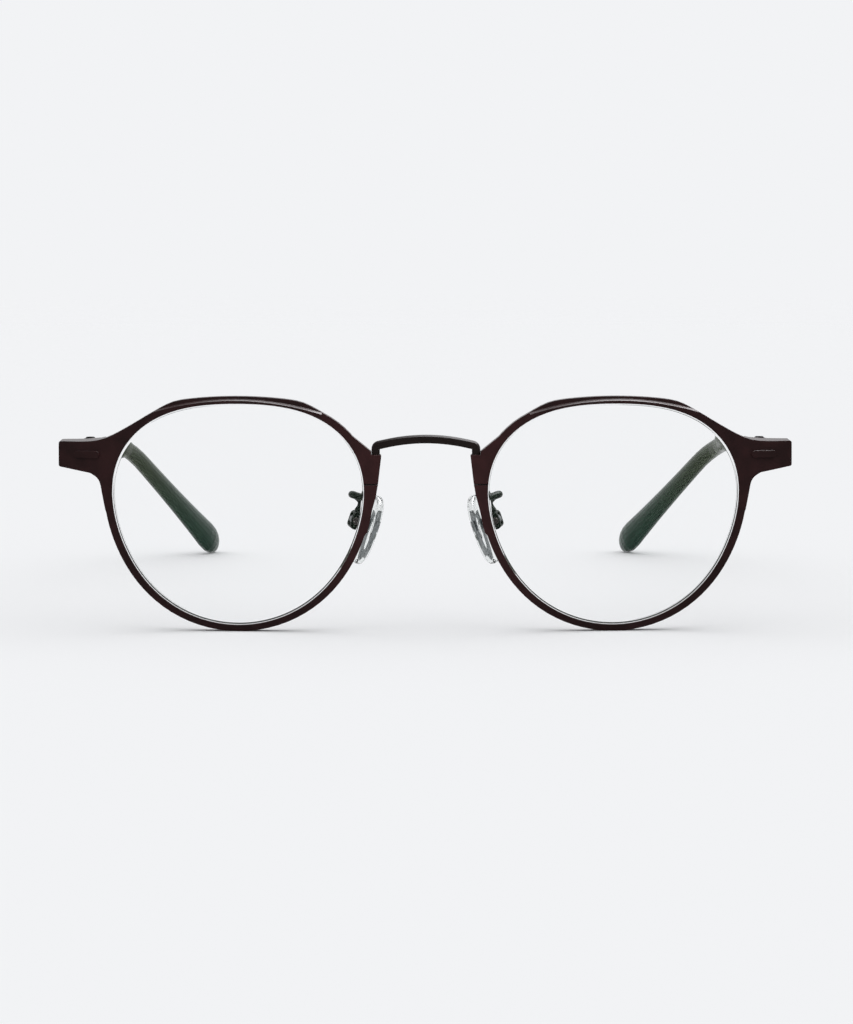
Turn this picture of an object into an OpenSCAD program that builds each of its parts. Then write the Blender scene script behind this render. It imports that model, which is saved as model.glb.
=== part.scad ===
// Panto eyeglasses with a thin metal front, standing open on rims and temple tips.
// X runs across the front, Y from the front to the ears, Z up. Sizes are millimetres.
// Left and right are the wearer's, so every left piece lies at positive X.

/* [Lenses] */
// Distance between the two lens centres
lens_spacing = 70.3; // [67:0.1:76]
// Boxed width of a lens with its edge bevel
lens_w = 48.2; // [45:0.2:50]
// Boxed height of a lens with its edge bevel
lens_h = 42.5; // [40:0.5:45]
// Thickness of a lens
lens_t = 1.6; // [1.3:0.1:1.8]
// Radius of the curve that lenses and rims follow
curve_r = 130; // [110:5:180]
// Turn of each eye outwards about its own upright, in degrees
wrap = 4; // [0:0.5:6]
// How much the form is drawn upwards, or downwards where below 0
form_lift = -0.1; // [-0.12:0.005:0.08]
// How much the form is wider than high, before it is fitted to the boxed size
form_wide = -0.0124; // [-0.02:0.0004:0.1]
// How far the upper shoulders of the form stand out
form_shoulder = 0.0472; // [0:0.0004:0.08]
// How square the form is
form_square = 0.0062; // [0:0.0002:0.04]

/* [Rims] */
// Width of the rim band above and below the lens
rim_w = 1.2; // [0.9:0.05:1.5]
// Width of the rim band beside the lens
rim_side_w = 1.5; // [0.9:0.05:1.8]
// Depth of the rim, front to back
rim_t = 2.2; // [2:0.1:2.8]
// How far the rim stands proud of the lens
rim_proud = 0.35; // [0.2:0.05:0.45]
// Depth of the groove that holds the lens
groove_d = 0.5; // [0.3:0.05:0.6]
// Width of that groove
groove_w = 0.8; // [0.6:0.05:1]
// Play of the lens in its groove
lens_play = 0.04; // [0.02:0.01:0.08]
// Width of the saw cut that opens the rim
split_w = 0.08; // [0.06:0.02:0.2]
// Height of the saw cut above the lens centre
split_up = 5.7; // [5:0.1:7]

/* [Crown] */
// Rise of the crown's top over the lens
crown_rise = 0.85; // [0.6:0.05:1.2]
// Distance of the crown's two corners from the lens centre
crown_half = 12.5; // [11:0.1:13.5]
// Drop from the crown's top to its corners
crown_sag = 0.97; // [0.8:0.01:1.5]
// Steepness of the shoulders outside those corners
crown_slope = 0.6; // [0.5:0.02:0.7]
// Softness of the corners
crown_soft = 0.4; // [0.2:0.05:0.6]
// Height of the ledge cut into the crown's front
ledge_h = 0.41; // [0.2:0.01:0.5]
// Depth of that ledge
ledge_d = 0.55; // [0.4:0.05:0.8]
// Radius of the ledge's front edge
ledge_r = 51.8; // [50:0.2:54]

/* [Endpieces] */
// Reach of the endpiece past the lens
endpiece_reach = 9.7; // [8.5:0.1:12]
// Height of the endpiece's top edge above the lens centre
endpiece_up = 13.35; // [12.5:0.05:14.5]
// Height of the endpiece at its outer end
endpiece_h = 4.7; // [4.6:0.05:6]
// Depth of the endpiece, front to back
endpiece_d = 5.5; // [4.5:0.1:7]
// Softness of the hollow curve from the crown's shoulder to the endpiece's top
endpiece_soft = 0.8; // [0.4:0.05:1]
// Radius of the hollow curve under the endpiece
endpiece_fillet = 1.6; // [1:0.1:3]
// Distance of the raised bar's middle from the endpiece's end
inlay_in = 5.4; // [4:0.1:6]
// Length of the raised bar on the endpiece
inlay_l = 4.7; // [3:0.1:5]
// Height of the raised bar
inlay_h = 1.3; // [0.8:0.1:1.6]
// How far the raised bar stands out
inlay_proud = 0.3; // [0.1:0.05:0.4]

/* [Bridge] */
// Reach of the nasal plate past the lens, at its top
plate_top_reach = 2.75; // [2:0.05:3]
// Reach of the nasal plate past the lens, at the saw cut
plate_split_reach = 2.1; // [1.5:0.1:2.4]
// Height of the nasal plate's top edge above the lens centre
plate_up = 11.2; // [10:0.1:12]
// Inset of the bridge wire from the plate's nasal edge
bridge_inset = 0.3; // [0.1:0.05:0.4]
// Thickness of the bridge wire, seen from the front
bridge_h = 1.56; // [1:0.02:1.8]
// Depth of the bridge wire
bridge_d = 1.5; // [1:0.1:2]
// Height of the bridge's middle above the plates
bridge_rise = 3.75; // [3:0.05:4.5]
// Height of the bridge's shoulders above the plates
bridge_shoulder = 2.6; // [2:0.1:3]
// How far the bridge bows forward
bridge_bow = 0.8; // [0:0.1:1.5]

/* [Rim locks] */
// Width of a lock block
lock_w = 2.3; // [2:0.1:2.6]
// Depth of a lock block behind the rim
lock_d = 2.5; // [2.2:0.1:3]
// Height of one lock block
lock_h = 1.9; // [1.5:0.1:2.2]
// Diameter of the lock screw
lock_screw_d = 1.1; // [0.8:0.1:1.3]
// Diameter of the lock screw's head
lock_head_d = 1.8; // [1.6:0.1:2]
// Height of that head
lock_head_h = 0.6; // [0.4:0.1:0.7]

/* [Nose pads] */
// Length of a pad
pad_l = 13.6; // [12:0.2:15]
// Width of a pad
pad_w = 7.6; // [6.5:0.1:9]
// Thickness of a pad
pad_t = 2.5; // [2:0.1:3]
// Turn of the pad's back edge outwards, in degrees
pad_splay = 20; // [10:1:35]
// Lean of the pad's top towards the nose, in degrees
pad_lean = 17; // [10:1:28]
// Lean of the pad's top towards the front, in degrees
pad_tip = 8; // [0:1:15]
// Distance of the pad's middle from its screw
pad_off = 2.9; // [2.6:0.1:3.5]
// Distance of the pad's middle below its screw
pad_drop = 1.2; // [0:0.1:2]
// Place of the pad screw outwards of the lens edge
pin_out = 2.35; // [2:0.05:3.5]
// Place of the pad screw behind the lens
pin_back = 9.3; // [8.5:0.1:12]
// Place of the pad screw below the lens centre
pin_down = 1.7; // [0:0.1:3]
// Length of the core inside a pad
core_l = 9.6; // [8:0.2:10.4]
// Width of the core
core_w = 2.4; // [2:0.1:4]
// Thickness of the core
core_t = 0.3; // [0.25:0.05:0.7]
// Depth of the core under the pad's back
core_in = 1.5; // [0.6:0.1:1.6]
// Distance of the core's middle below the pad's
core_drop = 0.8; // [0:0.1:1]
// Diameter of the pad arm's wire
arm_d = 1.4; // [0.8:0.05:1.5]
// Diameter of the pad screw
pin_d = 0.9; // [0.7:0.05:1]
// Thickness of the tab that the pad screw passes through
tab_t = 1; // [0.8:0.05:1.2]
// Radius of that tab round the screw
tab_r = 0.95; // [0.8:0.05:1]
// Wall of the pad box
box_wall = 0.45; // [0.4:0.05:0.7]
// Height of the pad box
box_h = 3.4; // [3.2:0.1:4]

/* [Hinges] */
// Distance of the hinge screw inwards of the endpiece's end
hinge_in = 5.4; // [4.8:0.1:5.6]
// Radius of the hinge knuckles
knuckle_r = 1.2; // [1:0.05:1.3]
// Height of the whole hinge
hinge_h = 4.6; // [4:0.1:4.8]
// Height of the middle knuckle
knuckle_h = 1.5; // [1.2:0.1:1.8]
// Play between knuckles
knuckle_play = 0.06; // [0.04:0.01:0.1]
// Thickness of the hinge's base plates
leaf_t = 0.5; // [0.4:0.05:0.7]
// Diameter of the hinge screw
hinge_screw_d = 1.2; // [1:0.05:1.4]
// Play round the hinge screw
screw_play = 0.04; // [0.02:0.01:0.08]
// Diameter of the hinge screw's head
hinge_head_d = 1.9; // [1.6:0.1:2.2]
// Height of that head
hinge_head_h = 0.25; // [0.2:0.05:0.6]
// Length of the temple's hinge leaf behind the screw
leaf_l = 6.5; // [5:0.5:9]

/* [Temples] */
// Distance from the front of the lenses to the ends of the tips
temple_depth = 138; // [130:1:145]
// Distance from the front of the lenses to the downward bend
bend_at = 97.5; // [86:0.5:100]
// Length over which that bend turns down
bend_len = 12.5; // [10:0.5:32]
// Distance from the front of the lenses to the inward bend
turn_at = 96.5; // [90:0.5:110]
// Length over which the tip turns inwards
turn_len = 9.5; // [8:0.5:24]
// How steeply the tips turn inwards, sideways for each millimetre back
turn_slope = 0.49; // [0.2:0.01:0.65]
// How the temple closes in behind the hinge, for each millimetre back
temple_lean = 0.032; // [0.02:0.001:0.06]
// How the temple falls behind the hinge, for each millimetre back
temple_fall = 0.065; // [0.02:0.001:0.08]
// Distance of the temple bar's middle from the endpiece's end
bar_in = 1.7; // [1.5:0.1:2]
// Thickness of the temple bar
bar_t = 1.3; // [1:0.05:1.6]
// Height of the temple bar at the hinge
bar_h = 3.7; // [3.2:0.1:4.4]
// Height of the temple bar where the tip begins
bar_end_h = 2.3; // [2:0.1:2.8]
// Diameter of the wire inside the tip
wire_d = 1.3; // [1:0.05:1.5]
// Distance from the front of the lenses to where the tip begins
tip_at = 78; // [70:1:86]
// Thickness of the tip where it begins
tip_t = 2.7; // [1.8:0.1:3]
// Height of the tip where it begins
tip_h = 3.4; // [2.8:0.1:3.8]
// Thickness of the tip at its broad end
paddle_t = 3.4; // [2:0.1:3.8]
// Height of the tip at its broad end
paddle_h = 7.1; // [4:0.1:8]
// Length of the tip's rounded end
paddle_round = 4.5; // [3:0.5:6]
// How late along the tip it broadens
paddle_late = 4; // [1:0.5:5]
// Length of solid tip beyond the end of the wire
wire_stop = 12; // [8:1:20]

/* [Hidden] */

// Colours
burgundy = [0.2, 0.11, 0.11];
bridge_brown = [0.18, 0.15, 0.14];
lacquer_green = [0.2, 0.24, 0.21];
acetate_green = [0.1, 0.17, 0.14];
steel = [0.6, 0.6, 0.6];
clear = [0.8, 0.9, 0.9, 0.4];

// Fineness of curves
$fn = 48;
lens_steps = 96;
ball_steps = 180;
section_steps = 20;

// A cutter reaches this far past what it cuts, and pieces that only touch keep this apart
over = 1;
touch = 0.02;
// The same on the hollow back of the rim, whose curve has fine facets
touch_back = 0.045;

// Places of the lens and of the ball whose surface the lens front follows
lens_x = lens_spacing / 2;
half_w = lens_w / 2;
half_h = lens_h / 2;
lens_z = rim_w - groove_d + half_h;
ball_x = lens_x - curve_r * sin(wrap);
ball_y = curve_r * cos(wrap);
r_front = curve_r + rim_proud;
r_back = r_front - rim_t;
r_groove = curve_r - lens_t / 2;

// Depth of the curved surface of radius r at a place on the front
function surface_y(r, x, z) = ball_y - sqrt(r ^ 2 - (x - ball_x) ^ 2 - (z - lens_z) ^ 2);

// The panto form, one radius for each angle, then fitted to the boxed size
function form_r(a) =
    1 + form_lift * sin(a) + form_wide * cos(2 * a) + form_shoulder * sin(3 * a) - form_square * cos(4 * a);
form = [for (i = [0:lens_steps - 1]) let (a = 360 * i / lens_steps) form_r(a) * [cos(a), sin(a)]];
form_low = min([for (p = form) p.y]);
form_high = max([for (p = form) p.y]);
form_side = max([for (p = form) p.x]);
function fitted(w, h) = [
    for (p = form) [p.x * w / form_side, ((p.y - form_low) / (form_high - form_low) * 2 - 1) * h]
];
lens_points = fitted(half_w, half_h);
rim_points = fitted(half_w - groove_d + rim_side_w, half_h - groove_d + rim_w);

// The lower and the higher of two heights, with a soft turn from one to the other
function soft_low(a, b, soft) = -soft * ln(exp(-a / soft) + exp(-b / soft));
function soft_high(a, b, soft) = soft * ln(exp(a / soft) + exp(b / soft));

// Top edge of the front: a flat arc, straight shoulders, and the level top of the endpiece
crown_top = half_h + crown_rise;
crown_r = (crown_half ^ 2 + crown_sag ^ 2) / (2 * crown_sag);
end_x = half_w + endpiece_reach;
function shoulder(x) = crown_top - crown_sag - crown_slope * (abs(x) - crown_half);
function crown(x) = soft_low(crown_top - x ^ 2 / (2 * crown_r), shoulder(x), crown_soft);
function top_edge(x) = x < 0 ? crown(x) : soft_high(crown(x), endpiece_up, endpiece_soft);
crown_in = -crown_half - 5;
top_steps = 40;
top_points = [
    for (i = [0:top_steps])
        let (x = crown_in + (end_x - crown_in) * i / top_steps) [x, top_edge(x)]
];
// Two points inside the lens opening, where the outline shapes are closed
inside = half_w - 3;

// Endpiece: where its under side meets the rim
endpiece_low = endpiece_up - endpiece_h;
endpiece_flare = [
    [half_w + 3.6, endpiece_low - 1.12],
    [half_w + 2.44, endpiece_low - 1.84],
    [half_w + 1.92, endpiece_low - 2.57],
    [half_w + 1.67, endpiece_low - 3.4],
    [half_w + 1.39, endpiece_low - 5],
    [half_w + 0.8, endpiece_low - 8]
];

// Nasal plate: from the rim's shoulder down to where it has become the rim band
plate_steps = [
    [-4.1, plate_up + 4.7],
    [0.9, plate_up + 0.6],
    [plate_top_reach, plate_up],
    [plate_split_reach, split_up],
    [plate_split_reach - 0.4, split_up - 2.3],
    [plate_split_reach - 1.1, split_up - 4.8],
    [0.1, split_up - 9]
];

// Depths of the endpiece and the places of its hinge
end_front_y = surface_y(r_front, lens_x + end_x, lens_z + endpiece_up);
endpiece_back = end_front_y + endpiece_d;
hinge_x = lens_x + end_x - hinge_in;
knuckle_room = 0.15;
hinge_y = endpiece_back + leaf_t + knuckle_r + knuckle_room;
hinge_z = lens_z + endpiece_up - endpiece_h / 2;
swing_gap = 0.16;
bar_x = lens_x + end_x - bar_in;
bar_y = endpiece_back + swing_gap;

// Pad frame: its screw, and the box round it
pin = [lens_x - half_w + pin_out, pin_back, lens_z - pin_down];
slot_play = 0.07;
box_half = tab_t / 2 + slot_play + box_wall;
box_in = 0.95;
box_out = 0.9;
back_share = 0.3;
pad_back = -pad_off + pad_t * back_share;

// Lock screw: its upright axis behind the nasal plate
lock_inset = 0.3;
lock_x = lens_x - half_w - plate_split_reach + lock_inset + lock_w / 2;
lock_z = lens_z + split_up;
lock_y = surface_y(r_back, lock_x, lock_z) + lock_d / 2;

// Centre line of a temple: it leans in and falls, then hooks down and turns inwards
function bend(y, start, length) =
    y < start ? 0
    : y < start + length ? (y - start) ^ 2 / (2 * length)
    : y - start - length / 2;
hook_run = bend(temple_depth, bend_at, bend_len);
function temple_point(y, end_z) =
    let (hook = (hinge_z - temple_fall * (temple_depth - bar_y) - end_z) / hook_run)
    [
        bar_x - temple_lean * (y - bar_y) - turn_slope * bend(y, turn_at, turn_len),
        y,
        hinge_z - temple_fall * (y - bar_y) - hook * bend(y, bend_at, bend_len)
    ];
function unit(v) = v / norm(v);
function temple_way(y, end_z) = unit(temple_point(y + 0.1, end_z) - temple_point(y - 0.1, end_z));

// One rounded section across a temple at depth y, with its thickness and height.
// The lower the roundness, the flatter its sides; at 1 the section is an ellipse.
flat_round = 0.4;
tip_round = 0.9;
wire_round = 1;
function power(v, e) = sign(v) * abs(v) ^ e;
function temple_section(y, t, h, round, end_z) =
    let (
        way = temple_way(y, end_z),
        side = unit(cross(way, [0, 0, 1])),
        up = cross(side, way)
    )
    [
        for (i = [0:section_steps - 1])
            let (a = -360 * (i + 0.5) / section_steps)
                temple_point(y, end_z)
                + side * power(cos(a), round) * t / 2
                + up * power(sin(a), round) * h / 2
    ];

// Tip: it broadens towards its end, and the last stretch is rounded off
function tip_share(y) = ((y - tip_at) / (temple_depth - tip_at)) ^ paddle_late;
function tip_width(y) = tip_t + (paddle_t - tip_t) * tip_share(y);
function tip_height(y) = tip_h + (paddle_h - tip_h) * tip_share(y);
function tip_end(y) =
    let (d = max(0, y - temple_depth + paddle_round) / paddle_round) sqrt(max(0.02, 1 - d ^ 2));
hook_steps = 16;
end_rings = [0.35, 0.6, 0.8, 0.93, 1];
tip_rings = [
    tip_at, (tip_at + bend_at) / 2, bend_at,
    for (i = [1:hook_steps]) bend_at + (temple_depth - paddle_round - bend_at) * i / hook_steps,
    for (d = end_rings) temple_depth - paddle_round * (1 - d)
];
function tip_sections(end_z) = [
    for (y = tip_rings)
        temple_section(y, tip_width(y) * tip_end(y), tip_height(y) * tip_end(y), tip_round, end_z)
];
// The tips' lowest points reach the ground, which the rims stand on
function tip_low(end_z) = min([for (s = tip_sections(end_z)) for (p = s) p.z]);
first_end_z = 3;
second_end_z = first_end_z - tip_low(first_end_z);
end_z = second_end_z - tip_low(second_end_z);
tip_far = max([for (s = tip_sections(end_z)) for (p = s) p.y]);

// Wire inside the tip, and the hole that takes it
wire_end = temple_depth - wire_stop;
wire_play = 0.04;
bar_steps = 4;
wire_rings = [
    tip_at, (tip_at + bend_at) / 2, bend_at,
    for (i = [1:hook_steps]) bend_at + (wire_end - bend_at) * i / hook_steps
];
bar_rings = [for (i = [0:bar_steps]) bar_y + (tip_at - touch - bar_y) * i / bar_steps];
function bar_height(y) = bar_h + (bar_end_h - bar_h) * (y - bar_y) / (tip_at - bar_y);

// The origin is the middle of the footprint
mid_y = (ball_y - curve_r + tip_far) / 2;

// Faces of a skin over rings of n points, ring after ring
function skin(first, count, n, flip) = [
    for (j = [0:count - 2])
        for (i = [0:n - 1])
            let (a = first + j * n + i, b = first + j * n + (i + 1) % n)
                each flip
                    ? [[a, b, a + n], [b, b + n, a + n]]
                    : [[b, a, a + n], [b, a + n, b + n]]
];

// A solid skinned over a list of sections
module loft(sections) {
    n = len(sections[0]);
    last = (len(sections) - 1) * n;
    polyhedron(
        points = [for (s = sections) each s],
        faces = concat(
            [[for (i = [0:n - 1]) i]],
            skin(0, len(sections), n, false),
            [[for (i = [0:n - 1]) last + n - 1 - i]]
        )
    );
}

// The same with a blind hole that opens at the first section
module loft_with_hole(sections, holes) {
    n = len(sections[0]);
    last = (len(sections) - 1) * n;
    first = last + n;
    hole_end = first + (len(holes) - 1) * n;
    polyhedron(
        points = [for (s = concat(sections, holes)) each s],
        faces = concat(
            [for (i = [0:n - 1]) let (j = (i + 1) % n) each [[i, j, first + j], [i, first + j, first + i]]],
            skin(0, len(sections), n, false),
            [[for (i = [0:n - 1]) last + n - 1 - i]],
            skin(first, len(holes), n, true),
            [[for (i = [0:n - 1]) hole_end + i]]
        )
    );
}

// A shape drawn in the front view, about the lens centre, made a solid along Y
module from_front(y0, y1) {
    translate([lens_x, y1, lens_z]) rotate([90, 0, 0]) linear_extrude(y1 - y0) children();
}

module ball(r) {
    translate([ball_x, ball_y, lens_z]) sphere(r, $fn = ball_steps);
}

module in_place() {
    translate([0, -mid_y, 0]) children();
}

module other_side() {
    mirror([1, 0, 0]) children();
}

// Lens outline, with the edge bevel
module lens_outline(grow) {
    offset(delta = grow) polygon(lens_points);
}

// Outline of one half of the front: rim band, crown, endpiece and nasal plate
module front_outline() {
    corner_r = 0.4;
    seat_corner_r = 0.12;
    seat_room = 0.04;
    taper_low = split_up - 9;
    offset(r = seat_corner_r) offset(delta = -seat_corner_r)
    difference() {
        offset(r = corner_r) offset(delta = -corner_r)
        offset(r = -endpiece_fillet) offset(r = endpiece_fillet)
        union() {
            polygon(rim_points);
            polygon(concat(
                top_points,
                [[end_x, endpiece_low]],
                endpiece_flare,
                [[inside, 0], [-inside, 0], [crown_in, half_h / 2]]
            ));
            polygon(concat(
                [for (p = plate_steps) [-half_w - p.x, p.y]],
                [[-inside, taper_low], [-inside, plate_up]]
            ));
        }
        // Seat of the bridge
        translate([-half_w - plate_top_reach - over, plate_up])
            square([over + bridge_inset + bridge_h + seat_room, 2 * over]);
    }
}

// The endpiece in plan: as deep as the hinge needs, narrowing to the rim band
module endpiece_plan() {
    back_r = 1;
    neck = lens_x + half_w + 0.9;
    neck_slope = 2.3;
    neck_y = 3.4;
    linear_extrude(lens_z + crown_top)
        offset(r = back_r) offset(delta = -back_r)
            polygon([
                [neck, 0],
                [neck, endpiece_back - neck_y],
                [neck + neck_slope, endpiece_back],
                [lens_x + end_x, endpiece_back],
                [lens_x + end_x, 0]
            ]);
}

// What is cut from the crown's front: all outside a cone, down to the ledge's depth
module crown_cut() {
    ledge_out = 0.7;
    ledge_up = half_h + 0.05;
    cut_low = half_h - 3;
    cut_in = crown_half + 3.3;
    cut_out = crown_half + 4.8;
    turn_out = asin((lens_x + ledge_out - ball_x) / r_front);
    edge_angle = asin(ledge_r / r_front);
    turn_down = edge_angle - asin(ledge_up / r_front);
    reach = r_front * cos(edge_angle);
    radial = ledge_h * cos(edge_angle) - ledge_d * sin(edge_angle);
    axial = ledge_h * sin(edge_angle) + ledge_d * cos(edge_angle);
    spread = 4;
    difference() {
        from_front(-2 * over, 3 * rim_t)
            translate([-cut_in, cut_low])
                square([cut_in + cut_out, crown_top + over - cut_low]);
        ball(r_front - ledge_d);
        translate([ball_x, ball_y, lens_z]) rotate([90 + turn_down, 0, turn_out])
            translate([0, 0, reach - spread])
                cylinder(
                    h = 2 * spread,
                    r1 = ledge_r + spread * radial / axial,
                    r2 = ledge_r - spread * radial / axial,
                    $fn = ball_steps
                );
    }
}

module rim() {
    color(burgundy)
    difference() {
        intersection() {
            from_front(-2 * over, endpiece_back + over) front_outline();
            union() {
                difference() {
                    ball(r_front);
                    ball(r_back);
                }
                intersection() {
                    ball(r_front);
                    endpiece_plan();
                }
            }
        }
        from_front(-3 * over, endpiece_back + 2 * over) lens_outline(-groove_d);
        difference() {
            intersection() {
                from_front(-3 * over, endpiece_back) lens_outline(0);
                ball(r_groove + groove_w / 2);
            }
            ball(r_groove - groove_w / 2);
        }
        crown_cut();
        translate([lens_x - half_w - 2 * plate_top_reach, -2 * over, lock_z - split_w / 2])
            cube([3 * plate_top_reach, rim_t + 4 * over, split_w]);
    }
    inlay();
}

// Raised bar on the endpiece's face
module inlay() {
    spread = (inlay_l - inlay_h) / 2;
    color(burgundy)
    difference() {
        intersection() {
            from_front(0, endpiece_back - 2 * over)
                translate([end_x - inlay_in, endpiece_up - endpiece_h / 2])
                    hull() for (s = [-1, 1]) translate([s * spread, 0]) circle(d = inlay_h, $fn = 24);
            ball(r_front + inlay_proud);
        }
        ball(r_front - over / 4);
    }
}

module lens() {
    body_grow = -groove_d - lens_play;
    color(clear)
    union() {
        difference() {
            intersection() {
                from_front(-2 * over, endpiece_back) lens_outline(body_grow);
                ball(curve_r);
            }
            ball(curve_r - lens_t);
        }
        difference() {
            intersection() {
                from_front(-2 * over, endpiece_back) lens_outline(-lens_play);
                ball(r_groove + groove_w / 2 - lens_play);
            }
            ball(r_groove - groove_w / 2 + lens_play);
        }
    }
}

// Bridge: a wire with flat faces that rises over the nose and turns down onto the plates
module bridge() {
    leg_x = lens_x - half_w - plate_top_reach + bridge_inset + bridge_h / 2;
    plate_z = lens_z + plate_up;
    plate_y = surface_y(r_front - rim_t / 2, leg_x, plate_z);
    bow_r = 0.75;
    arch_x = leg_x - bow_r;
    arch_z = plate_z + bridge_shoulder - bridge_h / 2;
    top_z = plate_z + bridge_rise - bridge_h / 2;
    shoulder_turn = atan(2 * (top_z - arch_z) / arch_x);
    turn_steps = 5;
    arch_steps = 8;
    // Half of the wire's centre line: leg, turn and arch, each place with its direction
    half_way = concat(
        [[leg_x, plate_z + touch, 90]],
        [
            for (i = [0:turn_steps])
                let (a = (90 - shoulder_turn) * i / turn_steps)
                    [arch_x + bow_r * cos(a), arch_z - bow_r + bow_r * sin(a), 90 + a]
        ],
        [
            for (i = [1:arch_steps])
                let (s = 1 - i / arch_steps)
                    [arch_x * s, top_z - (top_z - arch_z) * s ^ 2, 180 - shoulder_turn * s]
        ]
    );
    count = len(half_way);
    way = concat(
        half_way,
        [for (i = [count - 2:-1:0]) let (p = half_way[i]) [-p.x, p.y, 360 - p.z]]
    );
    // Flat faces meet in soft corners, so a section has eight
    flat = 0.62;
    corners = [
        [1, flat], [flat, 1], [-flat, 1], [-1, flat],
        [-1, -flat], [-flat, -1], [flat, -1], [1, -flat]
    ];
    color(bridge_brown)
    loft([
        for (p = way)
            let (bow = bridge_bow * (1 - (p.x / leg_x) ^ 2))
                [
                    for (c = corners)
                        [
                            p.x + c.x * sin(p.z) * bridge_h / 2,
                            plate_y - bow + c.y * bridge_d / 2,
                            p.y - c.x * cos(p.z) * bridge_h / 2
                        ]
                ]
    ]);
}

// A cylinder along Y about the origin, or from the origin forwards
module pin_along_y(l, r, centred) {
    rotate([90, 0, 0]) cylinder(h = l, r = r, center = centred);
}

// Half of the lock that closes the rim round its lens, on the upper or the lower side of the cut
module rim_lock(side) {
    base = side > 0 ? lock_z + split_w / 2 : lock_z - split_w / 2 - lock_h;
    round_r = 0.5;
    slant = asin((lock_x - ball_x) / r_back);
    seat_y = surface_y(r_back, lock_x, side > 0 ? lock_z + lock_h : lock_z) + touch_back;
    color(lacquer_green)
    difference() {
        translate([lock_x, seat_y, base]) rotate([0, 0, slant])
            linear_extrude(lock_h)
                union() {
                    translate([-lock_w / 2, 0]) square([lock_w, lock_d - round_r]);
                    translate([-lock_w / 2 + round_r, 0]) square([lock_w - 2 * round_r, lock_d]);
                    for (s = [-1, 1])
                        translate([s * (lock_w / 2 - round_r), lock_d - round_r]) circle(r = round_r);
                }
        translate([lock_x, lock_y, base - over])
            cylinder(h = lock_h + 2 * over, d = lock_screw_d + 2 * screw_play);
    }
}

// Lock screw, put in from below, with a slot in its head
module rim_lock_screw() {
    slot = 0.3;
    head_top = lock_z - split_w / 2 - lock_h - touch;
    color(steel)
    translate([lock_x, lock_y, head_top])
    difference() {
        union() {
            cylinder(h = 2 * lock_h + split_w, d = lock_screw_d);
            translate([0, 0, -lock_head_h]) cylinder(h = lock_head_h, d = lock_head_d);
        }
        translate([-lock_head_d, -slot / 2, -lock_head_h - over])
            cube([2 * lock_head_d, slot, over + lock_head_h / 2]);
    }
}

// A smooth line through four points at a time
function between(a, b, c, d, t) =
    0.5 * (2 * b + (c - a) * t + (2 * a - 5 * b + 4 * c - d) * t ^ 2 + (3 * b - a - 3 * c + d) * t ^ 3);

// Pad arm: a wire from the back of the rim, out round a loop and down into the pad box
module pad_arm() {
    root_in = 1.9;
    root_down = 4;
    root_x = lens_x - half_w - plate_split_reach + root_in;
    root_z = lens_z + split_up - root_down;
    root = [
        root_x,
        surface_y(r_back, root_x - arm_d / 2, root_z + arm_d / 2) + 2 * touch_back,
        root_z
    ];
    // The wire passes these places, first counted from its root, then from the pad screw
    knots = concat(
        [for (p = [[0, -1, 0], [0, 0, 0], [0, 1, 0], [1, 2.6, 1]]) root + p],
        [
            for (p = [
                [0.1, -2.7, 4.9], [0.5, -1.3, 4.9], [-0.3, -0.2, 4.5], [-1.2, 0.15, 3.5],
                [-1.05, 0.15, 2.4], [-0.35, 0, 1.35], [0, 0, 0]
            ]) pin + p
        ]
    );
    steps = 5;
    sides = 10;
    line = [
        for (k = [1:len(knots) - 3])
            for (i = [0:steps - 1])
                between(knots[k - 1], knots[k], knots[k + 1], knots[k + 2], i / steps)
    ];
    last = len(line) - 1;
    color(lacquer_green)
    difference() {
        loft([
            for (k = [0:last])
                let (
                    way = unit(line[min(k + 1, last)] - line[max(k - 1, 0)]),
                    side = unit(cross(way, [1, 0, 0.3])) * arm_d / 2,
                    up = cross(side, way)
                )
                    [
                        for (i = [0:sides - 1])
                            let (a = -360 * i / sides) line[k] + cos(a) * side + sin(a) * up
                    ]
        ]);
        pad_frame() pad_box_body(touch);
    }
}

// The pad's own frame: its screw lies along Y, the pad at negative X, the arm at positive X
module pad_frame() {
    translate(pin) rotate([0, 0, -pad_splay]) rotate([pad_tip, -pad_lean, 0]) children();
}

// Outside of the pad box
module pad_box_body(grow) {
    round_r = 0.85;
    translate([0, box_half + grow, 0]) rotate([90, 0, 0])
        linear_extrude(2 * (box_half + grow))
            offset(r = round_r + grow) offset(delta = -round_r)
                translate([-box_in, -box_h / 2]) square([box_in + box_out, box_h]);
}

// Pad box: a small clip, open towards the pad, with the screw hole through both cheeks
module pad_box() {
    slot = tab_t / 2 + slot_play;
    room = tab_r + 0.25;
    end_room = tab_r + 0.1;
    color(lacquer_green)
    pad_frame()
    difference() {
        pad_box_body(0);
        translate([-box_in - over, -slot, -room]) cube([box_in + over + end_room, 2 * slot, 2 * room]);
        pin_along_y(2 * (box_half + over), pin_d / 2 + touch, true);
    }
}

// Pad screw, with a slot in the head at its front end
module pad_screw() {
    head_h = 0.35;
    head_r = pin_d / 2 + 0.3;
    slot = 0.25;
    color(steel)
    pad_frame()
    difference() {
        union() {
            translate([0, box_half, 0]) pin_along_y(2 * box_half + head_h, pin_d / 2, false);
            translate([0, -box_half - touch, 0]) pin_along_y(head_h, head_r, false);
        }
        translate([-2 * head_r, -box_half - touch - head_h - over, -slot / 2])
            cube([4 * head_r, over + head_h / 2, slot]);
    }
}

// Pad core: a plate inside the soft pad, with the tab that hangs on the screw
module pad_core() {
    color(steel)
    pad_frame()
    difference() {
        union() {
            core_body(0);
            pin_along_y(tab_t, tab_r, true);
        }
        pin_along_y(2 * over, pin_d / 2 + screw_play, true);
    }
}

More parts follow.
